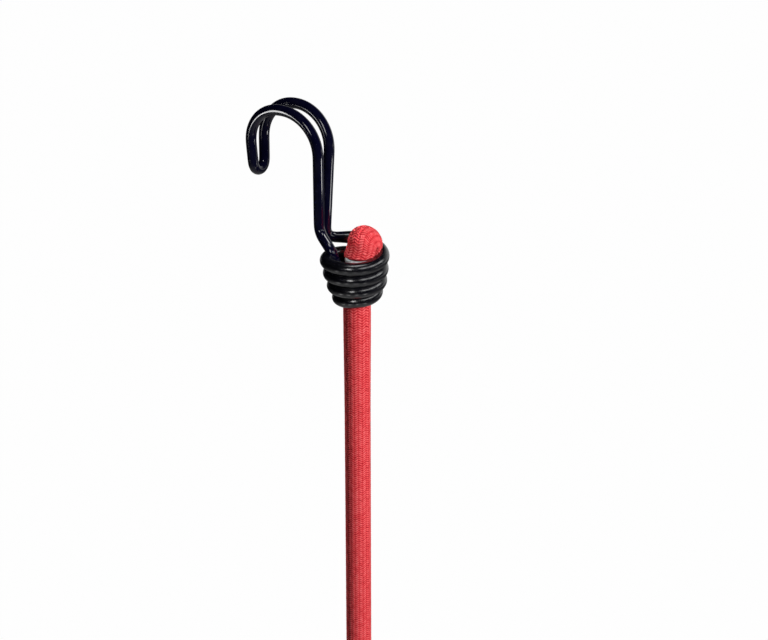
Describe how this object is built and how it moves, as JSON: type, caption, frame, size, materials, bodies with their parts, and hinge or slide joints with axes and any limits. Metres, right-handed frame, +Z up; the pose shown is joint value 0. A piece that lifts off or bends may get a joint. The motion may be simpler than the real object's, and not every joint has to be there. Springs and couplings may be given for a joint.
{
  "type": "bungee cord",
  "caption": "Elastic cord in a braided red sheath, with a black coated wire hook wound as a cone round each folded and crimped end.",
  "frame": {"origin": "the upper hook's seat: the underside of its crown, midway between its two wires, where a bar carries the hanging cord", "axes": "+Z up along the cord from the lower hook to the upper one, -X the side to which both hooks open, +Y across the hooks from the front wire to the rear wire of the upper hook"},
  "size_m": [0.0517, 0.0228, 0.3045],
  "materials": {
    "black_vinyl": "glossy dipped coat",
    "wire_steel": "drawn wire",
    "crimp_metal": "bright plated",
    "red_braid": "woven textile sheath",
    "latex": "natural latex strand"
  },
  "bodies": {
    "upper_end": {"upper_hook_coating": "black_vinyl", "upper_hook_wire": "wire_steel", "upper_crimp_ring": "crimp_metal", "upper_fold_sheath": "red_braid", "upper_fold_core": "latex"},
    "cord": {"cord_sheath": "red_braid", "cord_strand_1": "latex", "cord_strand_2": "latex", "cord_strand_3": "latex", "cord_strand_4": "latex", "cord_strand_5": "latex", "cord_strand_6": "latex", "cord_strand_7": "latex"},
    "neck": {"neck_sheath": "red_braid", "neck_strand_1": "latex", "neck_strand_2": "latex", "neck_strand_3": "latex", "neck_strand_4": "latex", "neck_strand_5": "latex", "neck_strand_6": "latex", "neck_strand_7": "latex"},
    "lower_end": {"lower_hook_coating": "black_vinyl", "lower_hook_wire": "wire_steel", "lower_crimp_ring": "crimp_metal", "lower_fold_sheath": "red_braid", "lower_fold_core": "latex"}
  },
  "joints": [
    {"name": "twist", "type": "hinge", "parent": "upper_end", "child": "cord", "pos_m": [0.02585, 0, -0.06], "axis": [0, 0, 1], "range_deg": [-180, 180], "stiffness_Nm_per_rad": 0.003},
    {"name": "stretch", "type": "slide", "parent": "cord", "child": "neck", "axis": [0, 0, -1], "range_m": [0, 0.12], "stiffness_N_per_m": 1000, "springref_m": -0.002, "deforming": ["cord_sheath", "cord_strand_1", "cord_strand_2", "cord_strand_3", "cord_strand_4", "cord_strand_5", "cord_strand_6", "cord_strand_7"]},
    {"name": "bend", "type": "hinge", "parent": "neck", "child": "lower_end", "pos_m": [0.02585, 0, -0.1995], "axis": [1, 0, 0], "range_deg": [-90, 90], "stiffness_Nm_per_rad": 0.01, "deforming": ["neck_sheath", "neck_strand_1", "neck_strand_2", "neck_strand_3", "neck_strand_4", "neck_strand_5", "neck_strand_6", "neck_strand_7"]}
  ]
}
